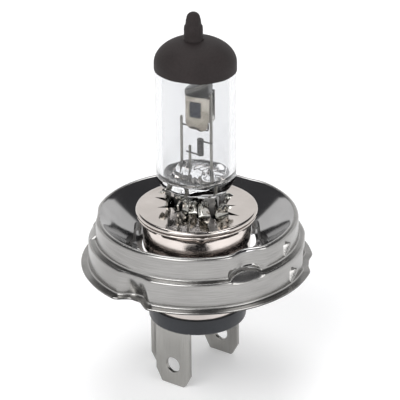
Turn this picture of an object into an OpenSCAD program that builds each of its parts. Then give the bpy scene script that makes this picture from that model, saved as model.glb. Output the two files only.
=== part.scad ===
// Twin-filament halogen headlight bulb on a stepped prefocus collar with three blade terminals.
// Millimetres, +Z along the bulb's axis towards the glass tip. The origin is on the axis, in the
// top face of the collar's bottom flange, which is the face that seats against the reflector.
// The pinch and the three support wires lie in the XZ plane; the middle blade is on the -X side.

/* [Collar] */
// Outer diameter of the bottom flange
flange_d = 45; // [44:0.5:56]
// Diameter of the lower wall, which centres the bulb in the reflector
pilot_d = 42; // [40:0.5:43]
// Height of the lower wall up to the ledge
pilot_h = 5.2; // [4.6:0.1:7]
// Diameter of the upper wall
step_d = 39.2; // [36:0.4:40]
// Height of the collar's rolled rim above the seating face
rim_h = 9.8; // [9:0.2:12]
// Thickness of the collar's sheet
collar_sheet = 0.5; // [0.4:0.05:0.6]
// Height of the bowl's floor at its central hole
bowl_floor_h = 3.4; // [2.6:0.1:4.2]
// Radius of the punch that dents the flange and the ledge
dent_r = 3.2; // [2.6:0.1:3.6]
// Depth of each dent from the edge that it dents
dent_depth = 2.1; // [1.6:0.1:2.4]

/* [Cap] */
// Outer diameter of the cap shell's upper cup
cup_d = 20.8; // [19.6:0.2:22]
// Height of the cup's top flange above the seating face
cup_h = 10.3; // [9.4:0.1:12]
// Outer diameter of the cap shell's lower sleeve
sleeve_d = 18.2; // [17.6:0.1:19]
// Depth of the sleeve's lower end below the seating face
sleeve_depth = 8.8; // [7:0.2:11]
// Thickness of the cap shell's sheet
cap_sheet = 0.4; // [0.3:0.05:0.5]
// Thickness of the pinch holder's rolled disc, top to bottom
holder_h = 1.0; // [0.8:0.1:1.4]

/* [Glass] */
// Outer diameter of the glass tube
glass_d = 15.4; // [14.6:0.2:17]
// Thickness of the glass wall
glass_wall = 1.25; // [0.9:0.05:1.5]
// Height of the bottom of the tube above the seating face
tube_bottom_h = 17; // [16:0.2:17.6]
// Height of the top of the dome, without the exhaust tip
dome_top_h = 46; // [44:0.5:58]
// Height of the rounded dome above the straight tube
dome_h = 4.7; // [3.6:0.1:6]
// Height of the sealed exhaust tip above the dome
tip_h = 5.3; // [3.5:0.1:6]
// Width of the flat pinch
pinch_w = 12; // [11.6:0.1:12.6]
// Thickness of the flat pinch
pinch_t = 4; // [3.4:0.1:4.4]
// Thickness of the opaque coating
coating_t = 0.12; // [0.08:0.01:0.2]
// Height of the straight tube that the coating covers below the dome
coating_skirt = 2; // [1:0.1:4]

/* [Light] */
// Height of the foot of the dipped filament's coil
dipped_h = 29.2; // [28.6:0.1:30]
// Height of the foot of the main filament's coil
main_h = 22.5; // [21.8:0.1:23]
// Length of the dipped filament's coil
dipped_len = 4.6; // [4:0.1:5]
// Length of the main filament's coil
main_len = 3.7; // [3.2:0.1:4.2]
// Outer diameter of both coils
coil_d = 1.3; // [0.9:0.1:1.6]
// Diameter of the support wires
wire_d = 0.56; // [0.4:0.02:0.66]
// Width of the shield across its side walls
shield_w = 4.4; // [3.8:0.1:4.8]
// Height of the shield's side walls
shield_len = 7.4; // [6:0.1:8]

/* [Terminals] */
// Width of a blade
blade_w = 8; // [6.3:0.1:8.4]
// Thickness of a blade
blade_t = 0.8; // [0.6:0.05:1]
// Distance from the axis to the middle of a blade's thickness
blade_offset = 8.1; // [7.6:0.1:8.8]
// Depth of the blade tips below the seating face
blade_tip_depth = 24; // [21:0.5:30]
// Diameter of the hole in a blade
blade_hole_d = 3.2; // [2:0.1:3.6]
// Height of the insulator that shows below the sleeve
insulator_h = 3.2; // [3:0.1:5]

/* [Hidden] */

$fn = 96;
cut = 1;                // how far a cutter runs past the face that it opens
weld_gap = 0.03;        // between curved faces that are welded together
seal_gap = 0.02;        // round the metal that is sealed in the glass
slot_gap = 0.05;        // round a blade in its moulded slot
fit_gap = 0.1;          // between the insulator's spigot and the sleeve
arc_steps = 6;          // straight pieces in each rounded corner of a sheet
bend_swell = 1.06;      // how much wider a rod's bends are than the rod
dome_steps = 14;        // straight pieces in the dome's outline

// Collar
flange_dent_angles = [-90, 30, 150];
ledge_dent_angles = [-30, 90, -150];
strip_angles = [38, 126, -146];
rim_r = 0.7;            // outer radius of the rolled rim
ledge_r = 0.6;          // radius of the shoulder between lower wall and ledge
ledge_dent_floor = 1.6; // depth of the crescent floor of a ledge dent below the ledge
strip_w = 3;            // width of a strip that holds the cup
strip_slot_w = 6;       // width of the gap in the bowl's hole beside a strip
strip_stand_off = 1.5;  // how far out from the cup a strip leaves the bowl
strip_h = 4.2;          // height of a strip above the bowl's floor
bowl_gap = 0.55;        // between the cup and the bowl's hole
mark_angle = 7;         // where the two orientation slits are
seam_angle = -10;       // where the walls' round faces start, between the dents
mark_w = 0.7;
mark_h = 2.3;
pilot_r = pilot_d / 2;
step_r = step_d / 2;
bowl_hole_r = cup_d / 2 + bowl_gap;

// Cap
cup_flange_w = 1.2;     // how far the cup's top flange stands out
cup_foot_h = 3;         // where the cup starts to draw in to the sleeve
sleeve_top_h = 1.4;     // where the sleeve starts
holder_lip = 0.2;       // how far the pinch holder stands out past the cup's flange
holder_sheet = 0.4;
holder_r = cup_d / 2 + cup_flange_w + holder_lip;
holder_top_h = cup_h + holder_h;
star_turn = 8;          // angle of the first star point
star_tips = [9.2, 7.6, 5.6, 5.2, 5.6, 7.6];
star_roots = [0.5, 1.5, 1.1, 1.1, 1.5, 0.5];
finger_len = 2.9;       // a finger leans in until its tip meets the pinch
finger_share = 0.7;     // a finger's width as a share of the gap between two star points

// Glass
glass_r = glass_d / 2;
tip_foot_r = 1.67;
tip_end_r = 1.3;
tip_shift = [-0.25, -0.17];
tip_sink = 1.2;         // how deep the tip's foot starts inside the dome
tube_foot_r = 2.2;      // rounding of the tube's lower edge
tube_floor_t = 1.5;     // thickness of glass above the tube's lower edge
pinch_bottom_h = 6.5;
pinch_corner_r = 1.2;
ridge_w = 9.6;          // ridge of glass round the wires on the tube's floor
ridge_t = 2.2;
ridge_h = 1.2;

// Wires, foils and leads, all in the pinch's plane
wire_r = wire_d / 2;
shield_wire_x = 3.45;
dipped_wire_x = -3.45;
main_wire_x = -1.45;
dipped_wire_top = 29.8;
main_wire_top = 24.1;
foil_t = 0.1;
foil_w = 1.9;
foil_bottom_h = 9.2;
foil_top_h = 14.7;
shield_foil_x = 3.4;
dipped_foil_x = -3.7;
main_foil_x = -1.3;
lead_r = 0.35;
lead_turn_h = 0.6;      // where the leads turn towards their blades

// Filaments and shield
coil_x = 1;             // both coils stand this far from the axis
coil_r = coil_d / 2;
coil_wire_r = 0.15;
coil_turn = 0.34;       // height of one turn
leg_r = 0.16;
leg_past = 0.5;         // how far a leg runs past the wire that holds it
dipped_leg_h = dipped_h - 1.4;
dipped_leg_x = 2.5;     // where the dipped filament's lower leg turns up
shield_sheet = 0.2;
shield_r = shield_w / 2;
shield_x = 0.25;        // centre of the shield's round back
shield_turn = 15;       // how far the shield is turned about that centre, against the pinch's plane
shield_reach = shield_wire_x - wire_r - weld_gap - shield_x;
shield_foot_h = dipped_h - 1;
shield_top_h = shield_foot_h + shield_len;
shield_foot_reach = 1.35;   // how far the closed foot reaches forward
shield_plate_h = 2.2;   // where the flange that is welded to the wire starts above the foot
shield_wire_top = shield_top_h + 0.3;
post_along = (shield_wire_x - shield_x) * cos(shield_turn);     // the wire's place seen from the shield
post_side = (shield_wire_x - shield_x) * sin(shield_turn);
hood_r = shield_r + shield_sheet / 2;
hood_front = post_along - wire_r - 2 * weld_gap;
hood_corner_r = 1.2;
hood_foot_h = shield_top_h - 0.4;
hood_back_h = 0.9;      // height of the hood's skirt at the back
hood_rise = 2.6;        // rise of the slanted hood from back to front

// Terminals
blade_step = 2.4;       // how far a blade steps in towards the axis inside the insulator
blade_root_h = -sleeve_depth - 1;
tongue_w = 5;
tongue_top_h = -3;
tip_chamfer_w = 1.4;
tip_chamfer_h = 2.6;
blade_hole_h = 4.3;     // height of the hole above the tip
insulator_rim = 0.1;    // material left outside a blade's outer corners
insulator_r = norm([blade_offset + blade_t / 2, blade_w / 2]) + insulator_rim;
insulator_edge_r = 0.6;
spigot_r = sleeve_d / 2 - cap_sheet - fit_gap;
spigot_h = 3.3;
insulator_bottom_h = -sleeve_depth - insulator_h;
earth_angle = 90;
dipped_angle = 180;
main_angle = -90;
tongue_face = blade_offset - blade_step - blade_t / 2;
lead_run = tongue_face - lead_r - weld_gap;
weld_r = 0.45;
weld_h = -4.1;

// Points of an arc from angle a to angle b
function arc(centre, r, a, b, steps = arc_steps) =
    [for (i = [0:steps]) let (t = a + (b - a) * i / steps) centre + r * [cos(t), sin(t)]];

function unit(v) = v / norm(v);
function left_of(v) = [-v[1], v[0]];

// A path moved sideways by t, to its left
function beside(path, t) =
    let (last = len(path) - 1)
    [for (i = [0:last])
        let (
            before = left_of(unit(path[max(i, 1)] - path[max(i, 1) - 1])),
            after = left_of(unit(path[min(i + 1, last)] - path[min(i + 1, last) - 1])),
            middle = unit(before + after)
        )
        path[i] + middle * t / (middle * before)];

function turned(list) = [for (i = [len(list) - 1:-1:0]) list[i]];

// A sheet of thickness t to the left of a path, turned round the axis
module spun_sheet(path, t) {
    rotate_extrude() polygon(concat(path, turned(beside(path, t))));
}

// A round rod from point to point, with a ball at each bend that stands just proud of the rod
module rod(points, r) {
    for (i = [0:len(points) - 2]) {
        run = points[i + 1] - points[i];
        translate(points[i])
            rotate([0, acos(run[2] / norm(run)), atan2(run[1], run[0])])
                cylinder(h = norm(run), r = r, $fn = 32);
    }
    if (len(points) > 2)
        for (i = [1:len(points) - 2]) translate(points[i]) sphere(r = r * bend_swell, $fn = 32);
}

// ---- Prefocus collar: one pressing of sheet steel ----

// The bowl's slope runs from the rolled rim to the central hole
bowl_rise = rim_h - rim_r - bowl_floor_h;
bowl_run = step_r - rim_r - bowl_hole_r;
bowl_slope = atan(bowl_rise / bowl_run);

// The collar's upper and outer face, from the flange's edge to the bowl's hole
collar_face = concat(
    [[flange_d / 2, 0], [pilot_r, 0]],
    arc([pilot_r - ledge_r, pilot_h - ledge_r], ledge_r, 0, 90),
    [[step_r, pilot_h]],
    arc([step_r - rim_r, rim_h - rim_r], rim_r, 0, 90 + bowl_slope),
    [[bowl_hole_r, bowl_floor_h]]
);

// Everything under the collar's face, out to the walls
module collar_core() {
    rotate_extrude() polygon(concat(
        [[bowl_hole_r, -collar_sheet], [pilot_r, -collar_sheet]],
        [for (i = [1:len(collar_face) - 1]) collar_face[i]]
    ));
}

// A dent's punch, upright, that reaches dent_depth in from the edge of radius edge_r
module dent_punch(angle, edge_r, grow) {
    rotate(angle) translate([edge_r + dent_r - dent_depth, 0])
        cylinder(h = 3 * rim_h, r = dent_r + grow);
}

module flange_punch(angle, grow) {
    top = pilot_h - ledge_r - collar_sheet + grow;
    intersection() {
        translate([0, 0, -cut]) dent_punch(angle, flange_d / 2, grow);
        translate([0, 0, -cut]) cylinder(h = top + cut, r = flange_d);
    }
}

module ledge_punch(angle, grow) {
    translate([0, 0, pilot_h - ledge_dent_floor - grow]) dent_punch(angle, pilot_r, grow);
}

module holding_strip(angle) {
    foot = bowl_hole_r - bowl_gap + strip_stand_off;
    foot_h = bowl_floor_h + (foot + collar_sheet - bowl_hole_r) * tan(bowl_slope) - collar_sheet;
    top_h = bowl_floor_h + strip_h;
    bend = strip_stand_off - weld_gap - collar_sheet;
    shoulder_h = top_h - 1.5 * bend;
    face = concat(
        [[foot, foot_h]],
        arc([foot - bend, shoulder_h], bend, 0, 60),
        [[foot - bend - collar_sheet, top_h]]
    );
    rotate(angle) rotate([90, 0, 0])
        linear_extrude(height = strip_w, center = true)
            polygon(concat(face, turned(beside(face, -collar_sheet))));
}

module mark_slit(height) {
    rotate(mark_angle) translate([step_r - 2 * cut, -mark_w / 2, height])
        cube([pilot_r - step_r + 4 * cut, mark_w, mark_h]);
}

module prefocus_collar() {
    color("silver") {
        difference() {
            rotate(seam_angle) spun_sheet(collar_face, collar_sheet);
            for (a = flange_dent_angles) flange_punch(a, 0);
            for (a = ledge_dent_angles) ledge_punch(a, 0);
            for (a = strip_angles) rotate(a)
                translate([0, -strip_slot_w / 2, 0])
                    cube([bowl_hole_r - bowl_gap + strip_stand_off, strip_slot_w, rim_h]);
            mark_slit((pilot_h - mark_h) / 2);
            mark_slit((pilot_h + rim_h - mark_h) / 2);
        }
        for (a = flange_dent_angles) difference() {
            intersection() {
                collar_core();
                flange_punch(a, collar_sheet);
            }
            flange_punch(a, 0);
        }
        for (a = ledge_dent_angles) difference() {
            intersection() {
                collar_core();
                ledge_punch(a, collar_sheet);
            }
            ledge_punch(a, 0);
        }
        for (a = strip_angles) holding_strip(a);
    }
}

// ---- Cap: the drawn shell that carries the glass at its top and the insulator at its foot ----

module cap_shell() {
    face = [
        [cup_d / 2 + cup_flange_w, cup_h - cap_sheet],
        [cup_d / 2, cup_h - cap_sheet],
        [cup_d / 2, cup_foot_h],
        [sleeve_d / 2, sleeve_top_h],
        [sleeve_d / 2, -sleeve_depth]
    ];
    color("rosybrown") spun_sheet(face, -cap_sheet);
}

// Distance from the axis to the pinch's outline in a direction
function pinch_reach(angle) =
    min(pinch_w / 2 / max(abs(cos(angle)), 0.01), pinch_t / 2 / max(abs(sin(angle)), 0.01));

// Half of the gap between two star points
half_point = 180 / (2 * len(star_tips));
half_root = half_point * finger_share;
function heading(angle) = [cos(angle), sin(angle)];
function root_r(k) = pinch_reach(finger_angle(k)) + star_roots[k % len(star_roots)];
function finger_angle(k) = star_turn + 2 * half_point * k + half_point;

// The star-shaped opening, pierced from below up through the disc
module star_opening() {
    translate([0, 0, cup_h - cut]) linear_extrude(height = holder_h + 2 * cut)
        polygon([for (k = [0:2 * len(star_tips) - 1]) each [
            star_tips[k % len(star_tips)] * heading(finger_angle(k) - half_point),
            root_r(k) / cos(half_root) * heading(finger_angle(k) - half_root),
            root_r(k) / cos(half_root) * heading(finger_angle(k) + half_root)
        ]]);
}

// A finger stands on the disc's top face at the root between two star points
module finger(k) {
    width = 2 * root_r(k) * tan(half_root);
    lean = asin(star_roots[k % len(star_roots)] / finger_len);
    rotate(finger_angle(k))
        translate([root_r(k) + holder_sheet / 2, 0, holder_top_h - holder_sheet / 2])
            rotate([0, -lean, 0])
                translate([0, -width / 2, 0])
                    cube([holder_sheet, width, finger_len]);
}

module pinch_holder() {
    edge_r = holder_h / 2;
    face = concat(
        [[holder_r, cup_h]],
        arc([holder_r - edge_r, holder_top_h - edge_r], edge_r, 0, 90),
        [[pinch_t / 4, holder_top_h]]
    );
    color("rosybrown") {
        difference() {
            spun_sheet(face, holder_sheet);
            star_opening();
            pinch_block(slot_gap);
        }
        difference() {
            for (k = [0:2 * len(star_tips) - 1]) finger(k);
            pinch_block(slot_gap);
        }
    }
}

// ---- Glass ----

// Outline of the dome, grown by g
function dome_outline(g) = [
    for (i = [0:dome_steps]) let (t = 90 * i / dome_steps)
        [(glass_r + g) * cos(t), dome_top_h - dome_h + (dome_h + g) * sin(t)]
];

module dome_solid(g, foot) {
    outline = dome_outline(g);
    rotate_extrude() polygon(concat([[0, foot], [glass_r + g, foot]],
        [for (i = [0:dome_steps - 1]) outline[i]], [[0, dome_top_h + g]]));
}

module tip_solid(g) {
    straight = tip_h + tip_sink - tip_end_r;
    end = arc([0, straight], tip_end_r + g, 0, 90, 8);
    translate([tip_shift[0], tip_shift[1], dome_top_h - tip_sink]) rotate_extrude()
        polygon(concat([[0, 0], [tip_foot_r + g, 0]],
            [for (i = [0:len(end) - 2]) end[i]], [[0, straight + tip_end_r + g]]));
}

module pinch_block(g) {
    height = tube_bottom_h - pinch_bottom_h + tube_floor_t / 2;
    translate([0, 0, pinch_bottom_h - g]) linear_extrude(height = height)
        union() {
            square([pinch_w + 2 * g, pinch_t - 2 * pinch_corner_r + 2 * g], center = true);
            square([pinch_w - 2 * pinch_corner_r + 2 * g, pinch_t + 2 * g], center = true);
            for (x = [-1, 1]) for (y = [-1, 1])
                translate([x * (pinch_w / 2 - pinch_corner_r), y * (pinch_t / 2 - pinch_corner_r)])
                    circle(r = pinch_corner_r + g);
        }
}

module tube_solid() {
    foot = arc([glass_r - tube_foot_r, tube_bottom_h + tube_foot_r], tube_foot_r, -90, 0);
    rotate_extrude() polygon(concat([[0, tube_bottom_h]], foot,
        [[glass_r, dome_top_h - dome_h], [0, dome_top_h - dome_h]]));
}

module cavity() {
    inner_r = glass_r - glass_wall;
    floor_h = tube_bottom_h + tube_floor_t;
    corner = tube_foot_r - glass_wall / 2;
    foot = arc([inner_r - corner, floor_h + corner], corner, -90, 0);
    outline = dome_outline(-glass_wall);
    rotate_extrude() polygon(concat([[0, floor_h]], foot,
        [for (i = [0:dome_steps - 1]) outline[i]], [[0, dome_top_h - glass_wall]]));
}

module ridge() {
    translate([-ridge_w / 2, -ridge_t / 2, tube_bottom_h]) cube([ridge_w, ridge_t, tube_floor_t + ridge_h]);
}

// All the metal that is sealed in the glass, grown by its gap
module sealed_metal() {
    wires = [shield_wire_x, dipped_wire_x, main_wire_x];
    foils = [shield_foil_x, dipped_foil_x, main_foil_x];
    for (x = wires) translate([x, 0, foil_top_h - seal_gap])
        cylinder(h = tube_bottom_h, r = wire_r + seal_gap, $fn = 32);
    for (x = foils) {
        translate([x, 0, (foil_bottom_h + foil_top_h) / 2])
            cube([foil_w + 2 * seal_gap, foil_t + 2 * seal_gap,
                foil_top_h - foil_bottom_h + 2 * seal_gap], center = true);
        translate([x, 0, 0])
            cylinder(h = foil_bottom_h, r = lead_r + seal_gap, $fn = 32);
    }
}

module glass_envelope() {
    color("lightcyan", 0.35) difference() {
        union() {
            difference() {
                union() {
                    tube_solid();
                    dome_solid(0, dome_top_h - dome_h - cut);
                    tip_solid(0);
                    pinch_block(0);
                }
                cavity();
            }
            ridge();
        }
        sealed_metal();
    }
}

module anti_glare_coating() {
    foot = dome_top_h - dome_h - coating_skirt;
    color("dimgray") difference() {
        union() {
            dome_solid(coating_t, foot);
            tip_solid(coating_t);
        }
        dome_solid(0, foot - cut);
        tip_solid(0);
    }
}

// ---- Filaments, shield and their wires ----

// A wound coil, as a solid whose outline has one swelling for each turn
module coil(height) {
    turns = round(height / coil_turn);
    steps = 6;
    inner = coil_r - 2 * coil_wire_r;
    bumps = [for (i = [0:turns * steps]) let (t = 180 * (i % steps) / steps)
        [coil_r - coil_wire_r * (1 - sin(t)), height * i / (turns * steps)]];
    rotate_extrude($fn = 48) polygon(concat([[inner, 0]], bumps, [[inner, height]]));
}

module dipped_filament() {
    foot = [coil_x + coil_r - coil_wire_r, 0, dipped_h + coil_turn];
    side = wire_r + leg_r + weld_gap;
    top = dipped_h + dipped_len - coil_turn;
    color("dimgray") {
        translate([coil_x, 0, dipped_h]) coil(dipped_len);
        rod([foot, [dipped_leg_x, side, foot[2]], [dipped_leg_x, side, dipped_leg_h],
            [dipped_wire_x - leg_past, side, dipped_leg_h]], leg_r);
        rod([[coil_x + coil_r - coil_wire_r, 0, top],
            [shield_wire_x - wire_r - weld_gap, 0, top]], leg_r);
    }
}

module main_filament() {
    side = wire_r + leg_r + weld_gap;
    bottom = main_h + coil_turn;
    top = main_h + main_len - coil_turn;
    color("dimgray") {
        translate([coil_x, 0, main_h]) coil(main_len);
        rod([[coil_x, -coil_r + coil_wire_r, bottom], [main_wire_x - leg_past, -side, bottom]], leg_r);
        rod([[coil_x, -coil_r + coil_wire_r, top], [shield_wire_x + leg_past, -side, top]], leg_r);
    }
}

// Outline of the shield seen along the axis, from the centre of its round back
module shield_outline(g, front) {
    circle(r = shield_r - g);
    translate([0, -shield_r + g]) square([front, 2 * (shield_r - g)]);
}

// Outline of the hood: round back, and a straight front with round corners
module hood_outline(g) {
    circle(r = hood_r - g);
    translate([0, -hood_r + g]) square([hood_front - hood_corner_r, 2 * (hood_r - g)]);
    translate([0, -hood_r + hood_corner_r]) square([hood_front - g, 2 * (hood_r - hood_corner_r)]);
    for (s = [-1, 1])
        translate([hood_front - hood_corner_r, s * (hood_r - hood_corner_r)]) circle(r = hood_corner_r - g);
}

// Everything above the hood's slanted top, or above its inner face at depth g
module above_hood(g) {
    translate([-hood_r, 0, hood_foot_h + hood_back_h]) rotate([0, -atan(hood_rise / (hood_r + hood_front)), 0])
        translate([-shield_w, -shield_w, -g]) cube([4 * shield_w, 2 * shield_w, 2 * shield_w]);
}

module dipped_beam_shield() {
    color("gainsboro") translate([shield_x, 0]) rotate(shield_turn) {
        // side walls and back, with a rounded foot that is closed only at the back
        difference() {
            translate([0, 0, shield_foot_h]) linear_extrude(height = shield_len)
                shield_outline(0, shield_reach);
            translate([0, 0, shield_foot_h + shield_sheet]) linear_extrude(height = shield_len)
                shield_outline(shield_sheet, shield_reach + cut);
            translate([shield_foot_reach, -shield_w, shield_foot_h - cut])
                cube([shield_w, 2 * shield_w, cut + shield_sheet]);
            translate([shield_reach, 0, shield_foot_h]) rotate([90, 0, 0])
                cylinder(h = 2 * shield_w, r = shield_reach - shield_foot_reach, center = true);
        }
        // hood, which fits over the walls
        difference() {
            translate([0, 0, hood_foot_h]) linear_extrude(height = hood_back_h + 2 * hood_rise)
                hood_outline(0);
            above_hood(0);
            difference() {
                translate([0, 0, hood_foot_h - cut]) linear_extrude(height = cut + hood_back_h + 2 * hood_rise)
                    hood_outline(shield_sheet);
                above_hood(shield_sheet);
            }
        }
        // flange from the near side wall to the support wire, to which it is welded
        translate([shield_reach - shield_sheet, -shield_r, shield_foot_h + shield_plate_h])
            cube([post_along - shield_reach + shield_sheet, shield_r - post_side - wire_r - weld_gap,
                hood_foot_h - shield_foot_h - shield_plate_h]);
    }
}

module support_wire(x, top) {
    color("gray") translate([x, 0, foil_top_h])
        cylinder(h = top - foil_top_h, r = wire_r, $fn = 32);
}

module foil(x) {
    color("lightsteelblue") translate([x, 0, (foil_bottom_h + foil_top_h) / 2])
        cube([foil_w, foil_t, foil_top_h - foil_bottom_h], center = true);
}

// A lead runs down out of the pinch and over to the inner face of its blade's tongue
module lead(x, angle) {
    across = lead_run * heading(angle) - [x, 0];
    run = norm(across);
    color("silver") translate([x, 0, 0]) rotate(atan2(across[1], across[0]))
        rod([[0, 0, foil_bottom_h], [0, 0, lead_turn_h],
            [run, 0, tongue_top_h - lead_r], [run, 0, weld_h - weld_r]], lead_r);
}

// ---- Insulator and terminals ----

// A blade with a step inside the insulator, grown by g for its slot
module blade_solid(g) {
    outer = blade_offset - blade_t / 2 - g;
    translate([outer, -blade_w / 2 - g, -blade_tip_depth])
        cube([blade_t + 2 * g, blade_w + 2 * g, blade_root_h + blade_tip_depth + g]);
    translate([outer - blade_step, -tongue_w / 2 - g, blade_root_h - blade_t - g])
        cube([blade_t + blade_step + 2 * g, tongue_w + 2 * g, blade_t + 2 * g]);
    translate([outer - blade_step, -tongue_w / 2 - g, blade_root_h - blade_t - g])
        cube([blade_t + 2 * g, tongue_w + 2 * g, tongue_top_h - blade_root_h + blade_t + 2 * g]);
}

module blade(angle) {
    color("lightgray") rotate(angle) difference() {
        blade_solid(0);
        translate([blade_offset, 0, blade_hole_h - blade_tip_depth]) rotate([0, 90, 0])
            cylinder(h = 2 * blade_t, d = blade_hole_d, center = true);
        for (side = [-1, 1])
            translate([blade_offset, side * blade_w / 2, -blade_tip_depth]) rotate([90, 0, 90])
                linear_extrude(height = 2 * blade_t, center = true)
                    polygon([[cut, -cut], [cut, tip_chamfer_h], [0, tip_chamfer_h],
                        [-tip_chamfer_w, 0], [-tip_chamfer_w, -cut]]
                        * (side > 0 ? [[1, 0], [0, 1]] : [[-1, 0], [0, 1]]));
    }
}

module terminal_insulator() {
    edge = arc([insulator_r - insulator_edge_r, insulator_bottom_h + insulator_edge_r],
        insulator_edge_r, -90, 0);
    color("darkslategray") difference() {
        rotate_extrude() polygon(concat([[0, insulator_bottom_h]], edge, [
            [insulator_r, -sleeve_depth], [spigot_r, -sleeve_depth],
            [spigot_r, spigot_h - sleeve_depth], [0, spigot_h - sleeve_depth]
        ]));
        for (a = [earth_angle, dipped_angle, main_angle]) rotate(a) blade_solid(slot_gap);
    }
}

// Round weld beads on the inner faces of the tongues, one below each lead's end
module blade_welds() {
    color("silver") for (a = [earth_angle, dipped_angle, main_angle])
        rotate(a) translate([tongue_face - weld_r, 0, weld_h - 2 * weld_r - weld_gap])
            rotate([0, 90, 0]) cylinder(h = weld_r, r1 = weld_r / 2, r2 = weld_r, $fn = 32);
}

prefocus_collar();
cap_shell();
pinch_holder();
glass_envelope();
anti_glare_coating();
dipped_filament();
main_filament();
dipped_beam_shield();
support_wire(shield_wire_x, shield_wire_top);  // shield_support_wire
support_wire(dipped_wire_x, dipped_wire_top);  // dipped_support_wire
support_wire(main_wire_x, main_wire_top);  // main_support_wire
foil(shield_foil_x);  // shield_foil
foil(dipped_foil_x);  // dipped_foil
foil(main_foil_x);  // main_foil
lead(shield_foil_x, earth_angle);  // shield_lead
lead(dipped_foil_x, dipped_angle);  // dipped_lead
lead(main_foil_x, main_angle);  // main_lead
terminal_insulator();
blade(earth_angle);  // earth_blade
blade(main_angle);  // main_blade
blade(dipped_angle);  // dipped_blade
blade_welds();
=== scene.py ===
# %% [markdown]
# # A twin-filament headlight bulb
# The bulb stands on its blades. A stepped steel collar centres it in the reflector, a nickel-plated cap
# holds the glass, and two coils, a shield and three wires stand inside the glass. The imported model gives
# every place and size; this script gives each piece its real surface. It works in millimetres and turns a
# finished piece into metres at the end, because small round numbers are easier to read.

# %% Load the frame
import math
import bpy
import bmesh
from mathutils import Matrix, Vector


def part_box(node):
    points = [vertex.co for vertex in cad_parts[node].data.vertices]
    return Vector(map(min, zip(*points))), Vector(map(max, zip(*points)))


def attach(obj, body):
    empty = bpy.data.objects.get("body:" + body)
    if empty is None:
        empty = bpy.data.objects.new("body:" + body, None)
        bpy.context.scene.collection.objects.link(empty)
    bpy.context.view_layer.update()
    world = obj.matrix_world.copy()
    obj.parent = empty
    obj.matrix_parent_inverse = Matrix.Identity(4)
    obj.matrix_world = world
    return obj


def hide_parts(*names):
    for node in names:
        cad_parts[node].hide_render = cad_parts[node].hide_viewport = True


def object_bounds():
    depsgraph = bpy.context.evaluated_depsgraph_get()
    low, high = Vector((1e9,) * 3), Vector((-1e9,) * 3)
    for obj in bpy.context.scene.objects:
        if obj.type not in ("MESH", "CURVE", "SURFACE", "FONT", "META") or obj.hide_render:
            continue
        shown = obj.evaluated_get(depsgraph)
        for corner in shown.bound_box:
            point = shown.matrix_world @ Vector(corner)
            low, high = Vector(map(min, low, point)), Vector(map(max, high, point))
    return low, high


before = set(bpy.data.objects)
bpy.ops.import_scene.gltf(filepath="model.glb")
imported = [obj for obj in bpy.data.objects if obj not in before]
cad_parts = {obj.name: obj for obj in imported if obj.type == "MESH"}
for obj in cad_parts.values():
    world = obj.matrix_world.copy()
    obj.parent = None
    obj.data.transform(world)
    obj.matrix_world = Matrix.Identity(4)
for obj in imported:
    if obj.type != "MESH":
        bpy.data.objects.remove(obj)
cad_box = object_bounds()
MM = 0.001


def corners(node):
    """Lowest and highest corner of a node in millimetres."""
    low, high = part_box(node)
    return low / MM, high / MM


print("nodes:", len(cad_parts))

# %% [markdown]
# The camera stands in front of the main blade, well to the right and above, with a long lens, so that
# the bulb's upright lines stay nearly parallel. It leans by half a degree. It aims just beside the
# axis, a quarter of the way up from the flange to the tip.

# %% Camera
AZIMUTH = math.radians(35.5)
ELEVATION = math.radians(26)
RIGHT = Vector((math.cos(AZIMUTH), math.sin(AZIMUTH), 0))
TOWARDS = Vector((math.sin(AZIMUTH) * math.cos(ELEVATION), -math.cos(AZIMUTH) * math.cos(ELEVATION),
                  math.sin(ELEVATION)))
AIM = Vector((0, 0, 12.6)) + 0.65 * RIGHT
DISTANCE = 520
LEAN = math.radians(0.5)

bpy.ops.object.select_all(action="DESELECT")
bpy.ops.object.camera_add(location=(AIM + DISTANCE * TOWARDS) * MM)
camera = bpy.context.object
camera.rotation_mode = "QUATERNION"
camera.rotation_quaternion = TOWARDS.to_track_quat("Z", "Y")
camera.rotation_quaternion @= Matrix.Rotation(-LEAN, 3, "Z").to_quaternion()
camera.data.lens = 244
camera.data.clip_start = 0.01
camera.data.clip_end = 50
bpy.context.scene.camera = camera
print("camera at", [round(v, 3) for v in camera.location])

# %% [markdown]
# ## Helpers for modelling
# A pressed or drawn sheet begins as one line, its outline, which is extruded point by point from a
# single vertex. The line is then spun round the axis or drawn along, and Solidify gives it its
# thickness. Wires begin as the same kind of line and get a round section.


# %% Select, edit and finish
def deselect():
    if bpy.context.object and bpy.context.object.mode != "OBJECT":
        bpy.ops.object.mode_set(mode="OBJECT")
    bpy.ops.object.select_all(action="DESELECT")


def activate(piece):
    deselect()
    piece.select_set(True)
    bpy.context.view_layer.objects.active = piece


def edit(piece, kind="VERT"):
    activate(piece)
    bpy.ops.object.mode_set(mode="EDIT")
    bpy.ops.mesh.select_mode(type=kind)
    bpy.ops.mesh.select_all(action="SELECT")


def pick_faces(piece, test):
    """Leaves only the faces selected whose centre and normal pass the test, in edit mode."""
    edit(piece, "FACE")
    bpy.ops.mesh.select_all(action="DESELECT")
    mesh = bmesh.from_edit_mesh(piece.data)
    for face in mesh.faces:
        face.select = test(face.calc_center_median(), face.normal)
    bmesh.update_edit_mesh(piece.data)


def outline(points):
    """An open line through the points, extruded from one vertex."""
    deselect()
    bpy.ops.mesh.primitive_plane_add(size=1, location=(0, 0, 0))
    piece = bpy.context.object
    edit(piece)
    bpy.ops.mesh.merge(type="CENTER")
    bpy.ops.transform.translate(value=Vector(points[0]))
    for before, after in zip(points, points[1:]):
        bpy.ops.mesh.extrude_vertices_move(TRANSFORM_OT_translate={"value": Vector(after) - Vector(before)})
    bpy.ops.object.mode_set(mode="OBJECT")
    return piece


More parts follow.
